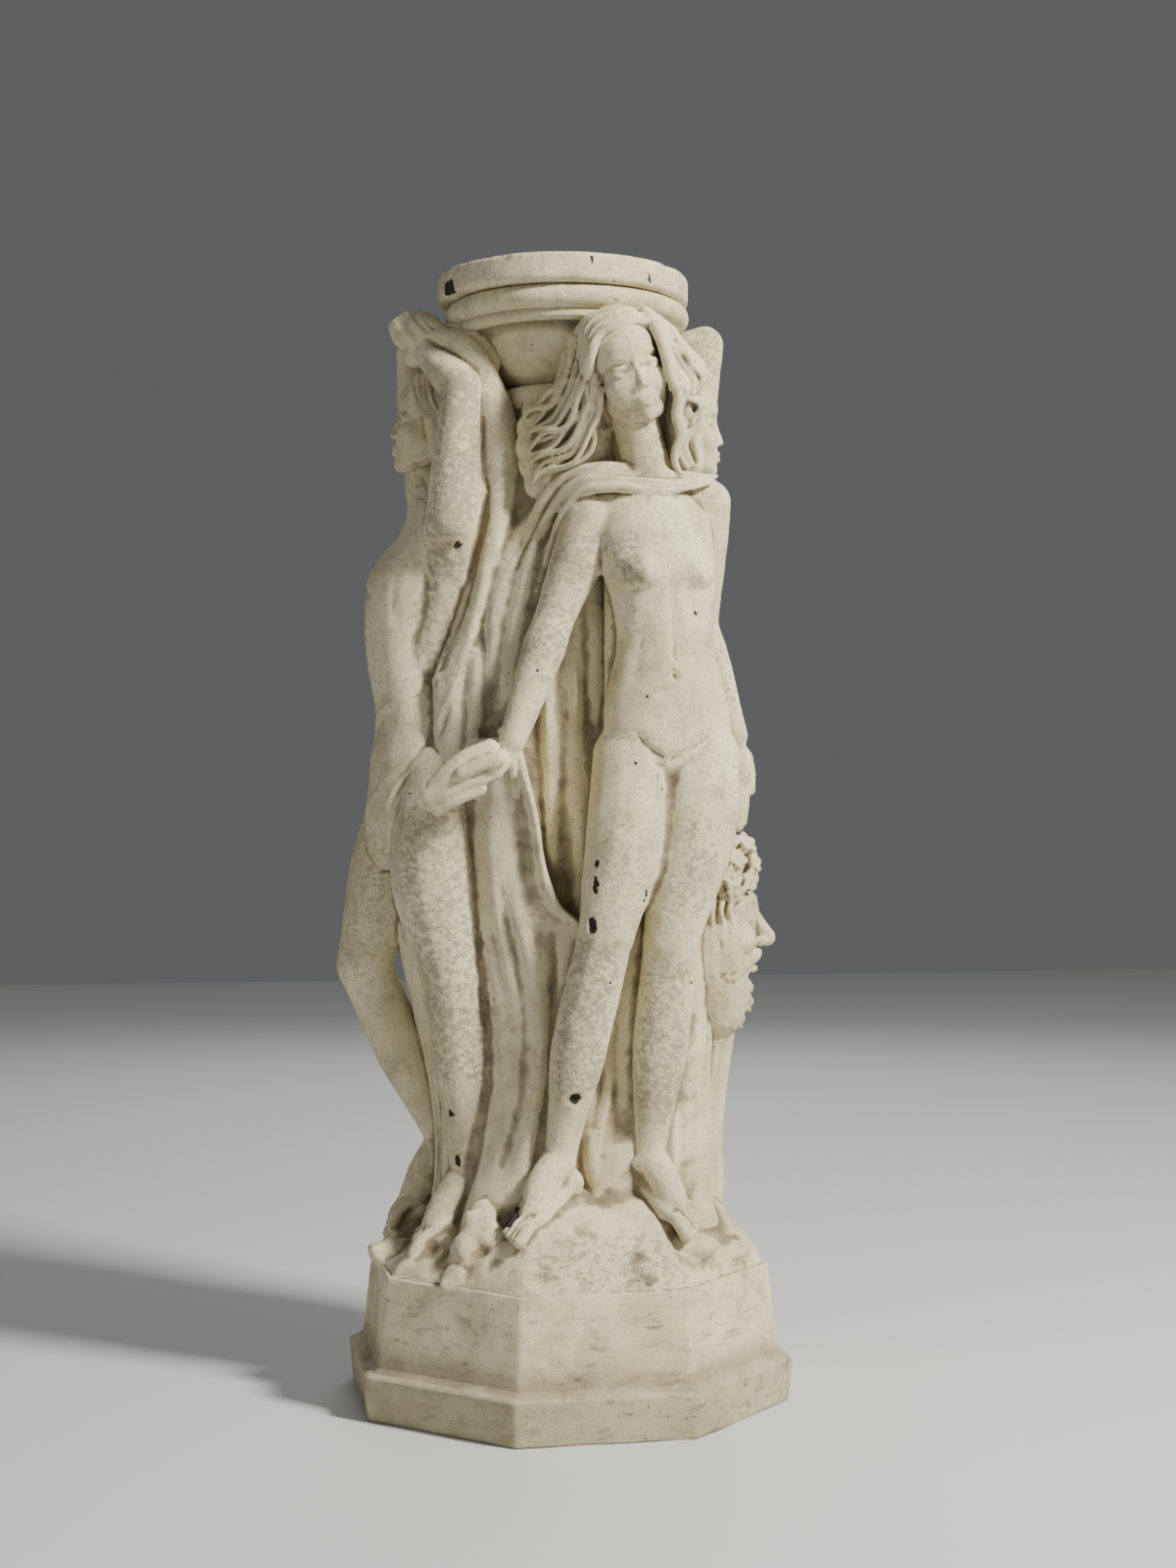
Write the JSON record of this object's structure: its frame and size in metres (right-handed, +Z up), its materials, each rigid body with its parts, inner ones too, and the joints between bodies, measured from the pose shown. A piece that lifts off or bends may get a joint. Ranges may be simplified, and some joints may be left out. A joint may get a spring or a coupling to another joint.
{
  "type": "figural garden pedestal",
  "caption": "Cast stone pedestal of draped standing women back to back on an octagonal plinth, carrying a turned capital with a loose round slab.",
  "frame": {"origin": "centre of the octagonal plinth's underside, on the floor", "axes": "+Z up; -Y is the outward normal of the flat under the woman in the open cloak; +X is to her left"},
  "size_m": [0.3151, 0.302, 0.8],
  "materials": {
    "cast_stone": null,
    "slab_stone": null
  },
  "bodies": {
    "root": {"statue": "cast_stone", "top_slab": "slab_stone"}
  },
  "joints": []
}
